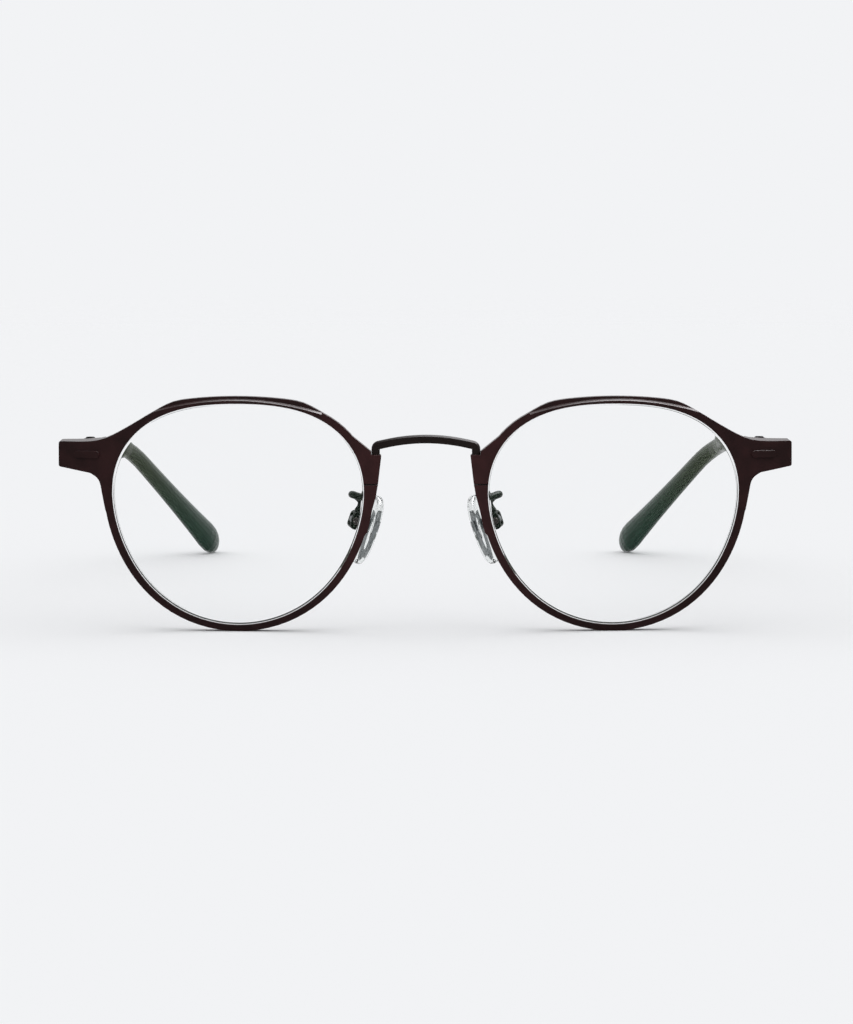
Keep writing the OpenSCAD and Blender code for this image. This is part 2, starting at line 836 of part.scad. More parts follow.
// The core's plate with round ends and the root of its tab, all grown by the given play
module core_body(grow) {
    back = pad_back - core_in;
    translate([back - core_t - grow, 0, -pad_drop - core_drop]) rotate([90, 0, 90])
        linear_extrude(core_t + 2 * grow)
            union() {
                for (s = [-1, 1]) translate([0, s * (core_l - core_w) / 2]) circle(d = core_w + 2 * grow);
                square([core_w + 2 * grow, core_l - core_w], center = true);
            }
    translate([back - core_t / 2, -tab_t / 2 - grow, -tab_r - grow])
        cube([core_t / 2 - back, tab_t + 2 * grow, 2 * (tab_r + grow)]);
}

// Soft clear pad: full towards the nose, flatter at the back, moulded round its core
module nose_pad() {
    rings = 15;
    sides = 20;
    fullness = 2.4;
    last_ring = 0.992;
    function size(s) = (1 - abs(s) ^ fullness) ^ (1 / fullness);
    pocket_play = 0.03;
    color(clear)
    pad_frame()
    difference() {
        loft([
            for (k = [0:rings - 1])
                let (s = last_ring * sin(90 * (2 * k / (rings - 1) - 1)), f = size(s))
                    [
                        for (i = [0:sides - 1])
                            let (
                                a = 360 * (i + 0.5) / sides,
                                t = pad_t * f ^ 0.6 * (cos(a) > 0 ? back_share : 1 - back_share)
                            )
                                [
                                    -pad_off + power(cos(a), 0.8) * t,
                                    power(sin(a), 0.9) * f * pad_w / 2,
                                    s * pad_l / 2 - pad_drop
                                ]
                    ]
        ]);
        core_body(pocket_play);
    }
}

// Front half of a hinge: a base on the endpiece and the upper and lower knuckles
module hinge_front() {
    base_w = 1.5 * 2 * knuckle_r;
    base_y = endpiece_back + touch;
    low = hinge_z - hinge_h / 2;
    each_h = (hinge_h - knuckle_h) / 2 - knuckle_play;
    color(bridge_brown)
    difference() {
        union() {
            translate([hinge_x - base_w / 2, base_y, low]) cube([base_w, leaf_t, hinge_h]);
            for (z = [low, low + hinge_h - each_h]) {
                translate([hinge_x, hinge_y, z]) cylinder(h = each_h, r = knuckle_r);
                translate([hinge_x - knuckle_r, base_y, z]) cube([2 * knuckle_r, hinge_y - base_y, each_h]);
            }
        }
        translate([hinge_x, hinge_y, low - over])
            cylinder(h = hinge_h + 2 * over, d = hinge_screw_d + 2 * touch);
    }
}

// Temple half of a hinge: the middle knuckle on a leaf that lies along the temple
module hinge_temple() {
    leaf = 0.7;
    leaf_h = 3.2;
    leaf_x = bar_x - bar_t / 2 - touch;
    low = hinge_z - knuckle_h / 2;
    color(bridge_brown)
    difference() {
        union() {
            translate([hinge_x, hinge_y, low]) cylinder(h = knuckle_h, r = knuckle_r);
            translate([hinge_x, hinge_y - leaf, low])
                cube([leaf_x - leaf / 2 - hinge_x, leaf + knuckle_r, knuckle_h]);
            translate([leaf_x, bar_y, hinge_z]) rotate([0, 0, atan(temple_lean)])
                translate([-leaf, hinge_y - bar_y - leaf, -leaf_h / 2]) cube([leaf, leaf_l, leaf_h]);
        }
        translate([hinge_x, hinge_y, low - over])
            cylinder(h = knuckle_h + 2 * over, d = hinge_screw_d + 2 * screw_play);
    }
}

// Hinge screw, put in from above
module hinge_screw() {
    slot = 0.3;
    head_edge = 0.2;
    color(steel)
    translate([hinge_x, hinge_y, hinge_z + hinge_h / 2 + touch])
    difference() {
        union() {
            translate([0, 0, -hinge_h]) cylinder(h = hinge_h, d = hinge_screw_d);
            cylinder(h = hinge_head_h, r1 = hinge_head_d / 2, r2 = hinge_head_d / 2 - head_edge);
        }
        translate([-hinge_head_d, -slot / 2, hinge_head_h / 2]) cube([2 * hinge_head_d, slot, over]);
    }
}

// Temple: a flat bar that runs on as a wire inside the tip
module temple() {
    color(bridge_brown)
    loft(concat(
        [for (y = bar_rings) temple_section(y, bar_t, bar_height(y), flat_round, end_z)],
        [
            for (y = concat([tip_at - touch], wire_rings))
                temple_section(y, wire_d, wire_d, wire_round, end_z)
        ]
    ));
}

// Tip: a soft sleeve over the wire, broader towards its end
module temple_tip() {
    hole = wire_d + 2 * wire_play;
    color(acetate_green)
    loft_with_hole(
        tip_sections(end_z),
        [
            for (y = concat(wire_rings, [wire_end + wire_play]))
                temple_section(y, hole, hole, wire_round, end_z)
        ]
    );
}

in_place() rim();  // left_rim
in_place() other_side() rim();  // right_rim
in_place() bridge();
in_place() lens();  // left_lens
in_place() other_side() lens();  // right_lens
in_place() rim_lock(1);  // left_rim_lock_upper
in_place() other_side() rim_lock(1);  // right_rim_lock_upper
in_place() rim_lock(-1);  // left_rim_lock_lower
in_place() other_side() rim_lock(-1);  // right_rim_lock_lower
in_place() rim_lock_screw();  // left_rim_lock_screw
in_place() other_side() rim_lock_screw();  // right_rim_lock_screw
in_place() pad_arm();  // left_pad_arm
in_place() other_side() pad_arm();  // right_pad_arm
in_place() pad_box();  // left_pad_box
in_place() other_side() pad_box();  // right_pad_box
in_place() pad_screw();  // left_pad_screw
in_place() other_side() pad_screw();  // right_pad_screw
in_place() pad_core();  // left_pad_core
in_place() other_side() pad_core();  // right_pad_core
in_place() nose_pad();  // left_nose_pad
in_place() other_side() nose_pad();  // right_nose_pad
in_place() hinge_front();  // left_hinge_front
in_place() other_side() hinge_front();  // right_hinge_front
in_place() hinge_temple();  // left_hinge_temple
in_place() other_side() hinge_temple();  // right_hinge_temple
in_place() hinge_screw();  // left_hinge_screw
in_place() other_side() hinge_screw();  // right_hinge_screw
in_place() temple();  // left_temple
in_place() other_side() temple();  // right_temple
in_place() temple_tip();  // left_temple_tip
in_place() other_side() temple_tip();  // right_temple_tip
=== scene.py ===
# %% [markdown]
# # Panto eyeglasses with a thin metal front
#
# The frame is lacquered metal, the lenses and nose pads are clear, and the temples end in soft
# green tips. Every piece comes as an exact solid, already in place, so most of the work here is
# in the finishes. Only the lenses and the nose pads are made again in mesh code, because their
# look depends on how smoothly light bends through them.

import math

import bmesh
import bpy
from mathutils import Matrix, Vector


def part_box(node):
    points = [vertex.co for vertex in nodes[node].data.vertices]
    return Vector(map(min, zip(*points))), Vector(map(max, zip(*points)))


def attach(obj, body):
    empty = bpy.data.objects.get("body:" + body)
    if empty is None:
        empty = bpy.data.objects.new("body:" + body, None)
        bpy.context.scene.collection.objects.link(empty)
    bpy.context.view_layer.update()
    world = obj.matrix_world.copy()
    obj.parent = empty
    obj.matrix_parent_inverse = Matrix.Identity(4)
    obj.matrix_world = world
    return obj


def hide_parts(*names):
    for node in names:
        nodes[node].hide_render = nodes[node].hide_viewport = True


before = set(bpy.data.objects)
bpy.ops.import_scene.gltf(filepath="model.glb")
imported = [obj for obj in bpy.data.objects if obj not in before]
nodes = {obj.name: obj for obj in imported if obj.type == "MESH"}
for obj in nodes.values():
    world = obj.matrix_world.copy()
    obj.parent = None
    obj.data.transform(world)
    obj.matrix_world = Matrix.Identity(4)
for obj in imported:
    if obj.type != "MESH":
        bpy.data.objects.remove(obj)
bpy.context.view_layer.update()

# %% [markdown]
# ## Sizes that the new pieces share with the solids
#
# A new lens has to fit the same groove as the solid that it stands for. Its sizes could be
# measured on the solid's mesh, but the few numbers that shaped the solid are easier to read, and
# only the place of the front comes from the frame. They are in millimetres from the middle of
# the footprint. Each lens and its rim follow a large ball, turned out a little so that the front
# wraps slightly round the face.

# %% Sizes of lens, rim and ball
MM = 0.001
lens_x, lens_z = 35.15, 21.95
half_w, half_h = 24.1, 21.25
curve_r, lens_t = 130.0, 1.6
wrap = math.radians(4)
groove_d, groove_w, play = 0.5, 0.8, 0.04
front_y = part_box("left_lens")[0].y / MM
lens_y = front_y + curve_r * (1 - math.cos(wrap))
ball_x, ball_y = lens_x - curve_r * math.sin(wrap), front_y + curve_r
print("ball centre:", round(ball_x, 2), round(ball_y, 2), "lens front:", round(lens_y, 2))

# %% [markdown]
# ## The leaning frame of a nose pad
#
# A nose pad follows the side of the nose: it is splayed, it leans and it is tipped, and it rocks
# on a small screw. Its shape and the steel inside it are both far easier to describe in the pad's
# own frame, with the screw as origin, so that frame is set up once here for both.

# %% The pad's screw and its turn
screw_from_edge, screw_back, screw_down = 2.35, 9.3, 1.7
pad_splay, pad_lean, pad_tip = math.radians(20), math.radians(17), math.radians(8)
pad_screw = Vector((lens_x - half_w + screw_from_edge, lens_y + screw_back, lens_z - screw_down))
pad_turn = (
    Matrix.Rotation(-pad_splay, 3, "Z")
    @ Matrix.Rotation(-pad_lean, 3, "Y")
    @ Matrix.Rotation(pad_tip, 3, "X")
)
print("pad screw at", [round(v, 2) for v in pad_screw])

# %% [markdown]
# ## Shader maths as plain expressions
#
# A finish is easier to read as `rough + 0.1 * dust` than as a row of nodes, so one small class
# wraps a socket and turns each operator into a Math node. Everything else, such as a noise or
# a bevel, comes from one function: it takes the node's type, then its settings, then what goes
# into its sockets. Numbers alone never become nodes.


# %% A socket that can be calculated with
class Signal:
    """The output of a node, as a value to calculate with."""

    def __init__(self, tree, socket):
        self.tree, self.socket = tree, socket

    def maths(self, operation, *values):
        return add_node(self.tree, "ShaderNodeMath", {"operation": operation}, values)

    def __add__(self, other):
        return self.maths("ADD", self, other)

    def __sub__(self, other):
        return self.maths("SUBTRACT", self, other)

    def __rsub__(self, other):
        return self.maths("SUBTRACT", other, self)

    def __mul__(self, other):
        return self.maths("MULTIPLY", self, other)

    def __truediv__(self, other):
        return self.maths("DIVIDE", self, other)

    def __rtruediv__(self, other):
        return self.maths("DIVIDE", other, self)

    __radd__, __rmul__ = __add__, __mul__

    def size(self):
        """The value without its sign."""
        return self.maths("ABSOLUTE", self)

    def root(self):
        return self.maths("SQRT", self)

    def larger(self, other):
        """The larger of two values, point by point."""
        return self.maths("MAXIMUM", self, other)

    def step(self, start, end):
        """0 up to start, 1 from end on, and a soft rise between them."""
        settings = {"interpolation_type": "SMOOTHSTEP"}
        values = {"Value": self, "From Min": start, "From Max": end}
        return add_node(self.tree, "ShaderNodeMapRange", settings, values)


def add_node(tree, kind, settings=None, inputs=None, output=None):
    """Adds one node: its settings first, then values or links for its sockets."""
    node = tree.nodes.new(kind)
    for name, value in (settings or {}).items():
        setattr(node, name, value)
    pairs = inputs.items() if isinstance(inputs, dict) else enumerate(inputs or [])
    for name, value in pairs:
        if isinstance(name, int):
            socket = node.inputs[name]
        else:
            socket = next(s for s in node.inputs if s.name == name and s.enabled)
        if isinstance(value, Signal):
            tree.links.new(value.socket, socket)
        else:
            socket.default_value = value
    found = [s for s in node.outputs if s.enabled and output in (None, s.name)]
    return Signal(tree, found[0]) if found else None


# %% [markdown]
# ## A finish is a material with a few shared helpers
#
# Colours are written as 8-bit values as one picks them from a picture, and turned into the
# linear values that Blender works with. Noise is given in features per millimetre, because
# that is how one thinks about a thing this small.


# %% Colours and the finish class
def colour(red, green, blue):
    def linear(v):
        v = v / 255
        return v / 12.92 if v <= 0.04045 else ((v + 0.055) / 1.055) ** 2.4

    return (linear(red), linear(green), linear(blue), 1)


def shade(tone, share):
    """A colour made that much lighter or darker, and never brighter than white."""
    return tuple(min(1, share * v) for v in tone[:3]) + (1,)


class Finish:
    """A material that is built from expressions."""

    def __init__(self, name):
        self.material = bpy.data.materials.new(name)
        self.material.use_nodes = True
        self.tree = self.material.node_tree
        self.tree.nodes.clear()
        self.place = self.node("ShaderNodeTexCoord", output="Object")

    def node(self, kind, settings=None, inputs=None, output=None):
        return add_node(self.tree, kind, settings, inputs, output)

    def along(self, axis):
        """The place along an axis of the frame, in millimetres."""
        return self.node("ShaderNodeSeparateXYZ", None, [self.place], axis) * 1000

    def noise(self, per_mm, detail=3, stretch=(1, 1, 1)):
        """Noise from 0 to 1, with about that many features in a millimetre."""
        place = self.node("ShaderNodeMapping", None, {"Vector": self.place, "Scale": stretch})
        values = {"Vector": place, "Scale": per_mm * 1000, "Detail": detail}
        return self.node("ShaderNodeTexNoise", None, values, "Fac")

    def mix(self, share, first, second):
        values = {"Factor": share, "A": first, "B": second}
        return self.node("ShaderNodeMix", {"data_type": "RGBA"}, values, "Result")

    def edges(self, radius_mm):
        """A rounded normal, and a mask that is 1 on the edges."""
        rounded = self.node("ShaderNodeBevel", {"samples": 6}, {"Radius": radius_mm * MM})
        plain = self.node("ShaderNodeNewGeometry", output="Normal")
        compare = {"operation": "DOT_PRODUCT"}
        same = self.node("ShaderNodeVectorMath", compare, [rounded, plain], "Value")
        return rounded, (1 - same).step(0.01, 0.12)

    def bump(self, height, depth_mm, normal=None):
        values = {"Height": height, "Distance": depth_mm * MM, "Strength": 1}
        if normal:
            values["Normal"] = normal
        return self.node("ShaderNodeBump", None, values)

    def shader(self, inputs):
        return self.node("ShaderNodeBsdfPrincipled", None, inputs)

    def close(self, surface):
        """Puts a shader on the surface and returns the material."""
        self.node("ShaderNodeOutputMaterial", None, {"Surface": surface})
        return self.material


print("mid grey as a linear value:", round(colour(128, 128, 128)[0], 3))

# %% [markdown]
# ## Lacquer on metal
#
# The front is sprayed with a thin burgundy lacquer that looks almost black where it turns from
# the light. Near the nose and at the endpieces its colour is painted lighter and warmer, as
# painted light for the brighter light that falls there. One flat colour with a gloss would look
# like plastic, because real lacquer is never quite flat: it has a fine orange-peel skin, it
# pools slightly, and it is a little thinner and smoother on the edges. Soft patches of warmer
# colour stand for the pools, and they also paint the uneven sheen of the overhead light. A
# bevel in the shader rounds the sharp solids, so that each edge catches a hairline of light as
# the real one does.
# The saw cut that lets the rim open for its lens is narrower than a pixel, so a thin dark line
# of painted shade marks it, standing in for the shade that lies inside the real cut.

# %% Lacquer finishes
nose_side, eye_side = 9, 26
endpiece_middle = 61
saw_cut_up, cut_shade_width = 27.65, (0.08, 0.22)
edge_round = 0.09


def lacquer(name, main, lit_and_worn, roughness, gloss, peel_mm=0.0005, paint_cut_shade=False):
    f = Finish(name)
    rounded, edge = f.edges(edge_round)
    # Soft patches of warmer colour: partly pooled lacquer, partly a painted sheen of the overhead light.
    pools_and_sheen = f.noise(0.35, 2).step(0.35, 0.7)
    across = f.along("X").size()
    near_nose = 1 - across.step(nose_side, eye_side)
    at_endpiece = 1 - (across - endpiece_middle).size().step(1, 6)
    # Painted light: the lacquer is lighter and warmer near the nose and at the endpieces, where more light
    # falls.
    tint = f.mix(pools_and_sheen * 0.3 + near_nose * 0.65 + at_endpiece * 0.15, main, lit_and_worn)
    # Painted shade: a thin dark line along the saw cut, standing in for the shade inside it.
    if paint_cut_shade:
        beside = (f.along("Z") - saw_cut_up).size().step(*cut_shade_width)
        cut_shade_mask = near_nose.step(0.6, 0.7) * (1 - beside)
        tint = f.mix(cut_shade_mask * 0.8, tint, colour(18, 12, 12))
        edge = edge * (1 - cut_shade_mask)
    coat = f.shader(
        {
            "Base Color": f.mix(edge * 0.35, tint, shade(lit_and_worn, 1.9)),
            "Roughness": roughness + 0.08 * f.noise(1.5, 4) - 0.05 * edge,
            "IOR": gloss,
            "Normal": f.bump(f.noise(7, 3), peel_mm, rounded),
        }
    )
    return f.close(coat)


burgundy = lacquer(
    "burgundy_lacquer", colour(39, 20, 20), colour(62, 31, 32), 0.3, 1.45, 0.0002, paint_cut_shade=True
)
dark_bridge = lacquer("dark_bridge_lacquer", colour(30, 24, 23), colour(38, 30, 28), 0.28, 1.34, 0.0001)
green_lacquer = lacquer("dark_green_lacquer", colour(30, 40, 32), colour(36, 46, 38), 0.32, 1.22)
dark_screw = lacquer("dark_screw_lacquer", colour(20, 17, 17), colour(26, 22, 22), 0.6, 1.15)
print("lacquers:", burgundy.name, dark_bridge.name, green_lacquer.name, dark_screw.name)

# %% [markdown]
# ## Turned steel
#
# The screws of the pads and rim locks, and the plates inside the nose pads, are bare steel. A
# metallic shader alone would look like chrome. Noise that is squeezed or drawn out along one
# axis adds fine parallel marks, of turning on the screws and of rolling on the plates. A pad's
# plate shows bright only along its front and at its tab. The rest of it is clear plastic, so
# the steel's alpha leaves that part open.


# %% Steel finishes
def steel(name, tone, roughness, stretch, cover=None):
    f = Finish(name)
    rounded, edge = f.edges(0.05)
    lines = f.noise(6, 4, stretch)
    stain = f.noise(0.8, 3).step(0.4, 0.8)
    metal = f.shader(
        {
            "Base Color": f.mix(stain * 0.5, tone, shade(tone, 0.55)),
            "Metallic": 1 - 0.15 * stain,
            "Roughness": roughness + 0.2 * lines - 0.08 * edge,
            "Normal": f.bump(lines, 0.002, rounded),
            "Alpha": cover(f) if cover else 1,
        }
    )
    return f.close(metal)


plate_front, tab_begins = (-0.45, -0.35), (-1.9, -1.8)


def steel_of_core(f):
    """1 where a pad's plate is steel, by its place in the pad's own frame. Both sides mirror."""
    across, back, up = f.along("X").size(), f.along("Y"), f.along("Z")
    away = (across - pad_screw.x, back - pad_screw.y, up - pad_screw.z)
    own_x, own_y = (
        away[0] * turn.x + away[1] * turn.y + away[2] * turn.z for turn in (pad_turn.col[0], pad_turn.col[1])
    )
    in_front = 1 - own_y.step(*plate_front)
    return in_front.larger(own_x.step(*tab_begins))


screw_steel = steel("turned_steel", colour(150, 146, 142), 0.28, (1, 1, 9))
core_steel = steel("pad_core_steel", colour(140, 143, 144), 0.3, (1, 1, 0.1), steel_of_core)
print("steels:", screw_steel.name, core_steel.name)

# %% [markdown]
# ## Green acetate for the temple tips
#
# The tips are dark green acetate, polished and a little milky. Where they begin, the sheet is
# thinner over the wire and looks paler and greyer; towards the broad end it deepens. True
# scattering inside the plastic would be slow and hardly show, so the colour itself changes along
# the tip, and cloudy noise that is drawn out the same way gives the flow marks of such plastic.

# %% Acetate finish
thin_until, olive_from, green_from = 4, 30, 62
thin_grey, olive, deep_green = colour(116, 119, 110), colour(70, 76, 60), colour(43, 65, 54)
flow_green = colour(48, 66, 52)


def acetate():
    f = Finish("green_acetate")
    back = f.along("Y")
    tint = f.mix(back.step(olive_from, green_from), olive, deep_green)
    tint = f.mix(1 - back.step(thin_until, olive_from), tint, thin_grey)
    clouds = f.noise(0.16, 4, (1, 0.35, 0.6))
    plastic = f.shader(
        {
            "Base Color": f.mix(clouds.step(0.4, 0.75) * 0.3, tint, flow_green),
            "Roughness": 0.16 + 0.1 * f.noise(2.5, 5),
            "Normal": f.bump(f.noise(1.2, 2), 0.002),
            "IOR": 1.38,
        }
    )
    return f.close(plastic)


tip_acetate = acetate()
print("tips deepen from", olive_from, "to", green_from, "mm behind the middle")

# %% [markdown]
# ## Clear lenses and clear silicone
#
# A lens bends light only where its two faces aren't parallel, so it is nearly invisible but for
# its edge. A surface that is merely see-through would lose that edge, and a pad would lose its
# bright rims, so both are refracting solids. A renderer that leaves out caustics would give them
# dark shadows, so shadow rays and scattered light go straight through. Seen at a slant, a lens
# lets part of the view straight through too, which keeps its border as pale as that of a coated
# lens.


# %% Clear finishes
def clear(name, tint, ior, roughness, skin_per_mm, skin_mm, mirror, shadow, aside=0):
    """A refracting finish. shadow and aside are the shares that pass straight through."""
    f = Finish(name)
    glass = f.shader(
        {
            "Base Color": tint,
            "Roughness": roughness + 0.02 * f.noise(0.5, 3).step(0.5, 0.9),
            "IOR": ior,
            "Transmission Weight": 1,
            "Specular Tint": (mirror, mirror, mirror, 1),
            "Normal": f.bump(f.noise(skin_per_mm, 2), skin_mm),
        }
    )
    open_air = f.node("ShaderNodeBsdfTransparent")
    to_lamp = f.node("ShaderNodeLightPath", output="Is Shadow Ray")
    scattered = f.node("ShaderNodeLightPath", output="Is Diffuse Ray")
    slant = f.node("ShaderNodeLayerWeight", None, {"Blend": 0.5}, "Facing").step(0.5, 0.9)
    straight = (to_lamp.larger(scattered) * shadow).larger(slant * aside)
    return f.close(f.node("ShaderNodeMixShader", None, [straight, glass, open_air]))


lens_clear = clear(
    "lens_clear",
    tint=(0.995, 0.998, 0.998, 1),
    ior=1.5,
    roughness=0.0,
    skin_per_mm=0.2,
    skin_mm=0.00002,
    mirror=0.12,
    shadow=1,
    aside=0.6,
)
silicone = clear(
    "clear_silicone",
    tint=(0.93, 0.95, 0.94, 1),
    ior=1.41,
    roughness=0.02,
    skin_per_mm=1.2,
    skin_mm=0.001,
    mirror=1,
    shadow=0.85,
)
print("clear stuffs:", lens_clear.name, silicone.name)

# %% [markdown]
# ## Ground glass for the lens edge
#
# A lens is ground to its outline on a wheel, which leaves a fine matt grey, and its back corner
# is broken by a narrow polished bevel. That clear bevel refracts the dark rim into a dark line
# beside it; here the bevel is painted dark instead, as a painted reflection of the rim. A rough
# refracting edge would need very many samples, so the ground bands are opaque and grainy.


# %% Ground finishes
def ground_and_painted_edge(name, dark, light):
    f = Finish(name)
    grain = f.noise(14, 4)
    scratches = f.noise(5, 3, (1, 6, 1))
    matt = f.shader(
        {
            "Base Color": f.mix(grain.step(0.35, 0.7), dark, light),
            "Roughness": 0.55 + 0.2 * scratches,
            "Normal": f.bump(grain, 0.003),
        }
    )
    return f.close(matt)


ground_edge = ground_and_painted_edge("ground_lens_edge", colour(168, 170, 166), colour(188, 190, 186))
# Painted reflection: the clear polished bevel is painted dark, for the dark rim that it refracts.
painted_dark_chamfer = ground_and_painted_edge("lens_chamfer_painted_dark", colour(60, 62, 61), colour(78, 80, 78))
print("edge finishes:", ground_edge.name, painted_dark_chamfer.name)

# %% [markdown]
# ## Mesh pieces that face outwards
#
# Glass is told from air by which way its faces look. A clear piece that is inside out would
# turn dark when it is seen at a slant, so each new mesh has its faces turned outwards and
# prints its volume, which is positive only then.


# %% Making a mesh piece
def mesh_piece(name, points, faces, material, body, stands_for, mirrored=False):
    """A smooth mesh from points in millimetres, mirrored for the right-hand side."""
    if mirrored:
        points = [(-x, y, z) for x, y, z in points]
    mesh = bpy.data.meshes.new(name)
    mesh.from_pydata([tuple(v * MM for v in p) for p in points], [], faces)
    form = bmesh.new()
    form.from_mesh(mesh)
    bmesh.ops.recalc_face_normals(form, faces=form.faces)
    print(name, "holds", round(form.calc_volume(signed=True) / MM**3, 1), "cubic millimetres")
    form.to_mesh(mesh)
    form.free()
    mesh.shade_smooth()
    mesh.materials.append(material)
    piece = bpy.data.objects.new(name, mesh)
    bpy.context.scene.collection.objects.link(piece)
    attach(piece, body)
    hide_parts(stands_for)
    return piece


def ring_faces(rings, n):
    """Quads between rings of n points each, ring after ring."""
    return [
        (j * n + i, j * n + (i + 1) % n, (j + 1) * n + (i + 1) % n, (j + 1) * n + i)
        for j in range(rings - 1)
        for i in range(n)
    ]


# %% [markdown]
# ## Outline of a lens
#
# A panto lens is nearly round, flatter at the top and widest a little above its middle. It could
# be drawn as a curve through many points, but one formula, a circle's radius with four gentle
# waves in it, has no flat spots. The same formula shaped the rims, so the lens follows its
# groove all round.

# %% Lens outline
droop, wide, three_sided, four_sided = 0.1, 0.0124, 0.0472, 0.0062


def form_radius(angle):
    return (
        1
        - droop * math.sin(angle)
        - wide * math.cos(2 * angle)
        + three_sided * math.sin(3 * angle)
        - four_sided * math.cos(4 * angle)
    )


def lens_outline(n):
    """Points round the lens, stretched to the boxed width and height."""
    angles = [2 * math.pi * i / n for i in range(n)]
    form = [(form_radius(a) * math.cos(a), form_radius(a) * math.sin(a)) for a in angles]
    side = max(x for x, z in form)
    low, high = min(z for x, z in form), max(z for x, z in form)
    return [(x * half_w / side, ((z - low) / (high - low) * 2 - 1) * half_h) for x, z in form]


def inset(outline, distance):
    """The outline moved inwards, square to itself."""
    n = len(outline)
    moved = []
    for i, (x, z) in enumerate(outline):
        (ax, az), (bx, bz) = outline[i - 1], outline[(i + 1) % n]
        length = math.hypot(bx - ax, bz - az)
        moved.append((x - (bz - az) / length * distance, z + (bx - ax) / length * distance))
    return moved


lens_points = 192
outline = lens_outline(lens_points)
print("outline:", len(outline), "points,", round(max(z for x, z in outline) * 2, 2), "mm high")

# %% [markdown]
# ## Lenses
#
# A lens is cut from a curved blank: two ball faces with the same centre, and an edge ground to a
# small tongue that sits in the rim's groove. Cutting it out of two balls would leave long thin
# faces at the rim, which show in glass. Here rings of points from the middle outwards follow the
# front face, then the edge, then the back face inwards. The faces stay exactly on the balls, so
# nothing that is seen through them wobbles.

# %% Lens mesh
bevel, polished = 0.36, 0.16
corner, tongue_gap, tongue_taper = 0.03, 0.02, 0.1
face_shares = [0.15, 0.3, 0.45, 0.6, 0.72, 0.82, 0.9, 0.96, 0.99]


def surface_y(radius, x, z):
    """The front of a ball of that radius, at a place on it."""
    return ball_y - math.sqrt(radius**2 - (x - ball_x) ** 2 - (z - lens_z) ** 2)


def lens_rings():
    """Each ring is an outline, its share of the full size, and the radius of its ball."""
    edge = groove_d + play
    body, tongue = inset(outline, edge), inset(outline, play + tongue_gap)
    ground, bevelled = inset(outline, edge + bevel - polished), inset(outline, edge + bevel)
    front, middle, back = curve_r, curve_r - lens_t / 2, curve_r - lens_t
    half_tongue = groove_w / 2 - play
    rings = [(body, share, front) for share in face_shares]
    rings += [(body, 1, front - corner), (body, 1, middle + half_tongue)]
    rings += [(tongue, 1, middle + half_tongue - tongue_taper)]
    rings += [(tongue, 1, middle - half_tongue + tongue_taper)]
    rings += [(body, 1, middle - half_tongue), (body, 1, back + bevel)]
    rings += [(ground, 1, back + polished), (bevelled, 1, back)]
    rings += [(bevelled, share, back) for share in reversed(face_shares)]
    return rings


def lens_mesh():
    """Points and faces of a lens, and which faces are ground and which are the bevel painted as a dark line.
    """
    rings, n = lens_rings(), lens_points
    points = []
    for shape, share, radius in rings:
        for x, z in shape:
            px, pz = lens_x + x * share, lens_z + z * share
            points.append((px, surface_y(radius, px, pz), pz))
    faces = ring_faces(len(rings), n)
    front_middle, back_middle = len(points), len(points) + 1
    for radius in (curve_r, curve_r - lens_t):
        points.append((lens_x, surface_y(radius, lens_x, lens_z), lens_z))
    last_ring = (len(rings) - 1) * n
    faces += [(front_middle, (i + 1) % n, i) for i in range(n)]
    faces += [(back_middle, last_ring + i, last_ring + (i + 1) % n) for i in range(n)]
    first_band, line_band = len(face_shares) + 1, len(rings) - len(face_shares) - 2
    ground = range(first_band * n, line_band * n)
    painted_dark_line = range(line_band * n, (line_band + 1) * n)
    return points, faces, ground, painted_dark_line


points, faces, ground, painted_dark_line = lens_mesh()
for side in ("left", "right"):
    lens = mesh_piece(
        f"{side}_clear_lens", points, faces, lens_clear, "front", f"{side}_lens", side == "right"
    )
    for index, (material, part) in enumerate([(ground_edge, ground), (painted_dark_chamfer, painted_dark_line)], 1):
        lens.data.materials.append(material)
        for face in part:
            lens.data.polygons[face].material_index = index
print("lens:", len(points), "points, ground faces:", len(ground))

# %% [markdown]
# ## Nose pads
#
# A pad is a soft drop of silicone moulded round its plate: full towards the nose, flatter at the
# back. A sphere pushed into shape would hardly give that back. A loft of rounded sections does,
# in the pad's own frame: they grow from one end and shrink to the other, and they stand closer
# together where the ends curve most.

# %% Nose pad
pad_l, pad_w, pad_t, pad_off, pad_drop = 13.6, 7.6, 2.5, 2.9, 1.2
full_side, flat_side = 0.7, 0.3
end_cut, oval, fullness, blunt_t, blunt_w = 0.995, 2.4, 0.6, 0.8, 0.9
pad_points, pad_rings = 48, 41


def power(v, exponent):
    """A power that keeps the sign, which turns a circle into a blunter or sharper round."""
    return math.copysign(abs(v) ** exponent, v)


def pad_mesh():
    points = []
    for k in range(pad_rings):
        up = end_cut * math.sin(math.pi / 2 * (2 * k / (pad_rings - 1) - 1))
        width = (1 - abs(up) ** oval) ** (1 / oval)
        for i in range(pad_points):
            a = 2 * math.pi * (i + 0.5) / pad_points
            thick = pad_t * width**fullness * (flat_side if math.cos(a) > 0 else full_side)
            own = (
                -pad_off + power(math.cos(a), blunt_t) * thick,
                power(math.sin(a), blunt_w) * width * pad_w / 2,
                up * pad_l / 2 - pad_drop,
            )
            points.append(tuple(pad_screw + pad_turn @ Vector(own)))
    faces = ring_faces(pad_rings, pad_points)
    faces.append(tuple(reversed(range(pad_points))))
    faces.append(tuple(range((pad_rings - 1) * pad_points, pad_rings * pad_points)))
    return points, faces


points, faces = pad_mesh()
for side in ("left", "right"):
    pad, body, solid = f"{side}_soft_pad", f"{side}_pad", f"{side}_nose_pad"
    mesh_piece(pad, points, faces, silicone, body, solid, side == "right")
print("nose pad:", len(points), "points,", len(faces), "faces")

# %% [markdown]
# ## Finishes on the solids
#
# All other pieces keep their exact solids and only get a finish. Their curved faces came as many
# small flat ones. Smoothing everything would blur the crisp corners, so a small node modifier
# smooths across each shallow edge only; the solids themselves aren't touched.

# %% Smoothing modifier and finishes
shallow_angle = math.radians(24)


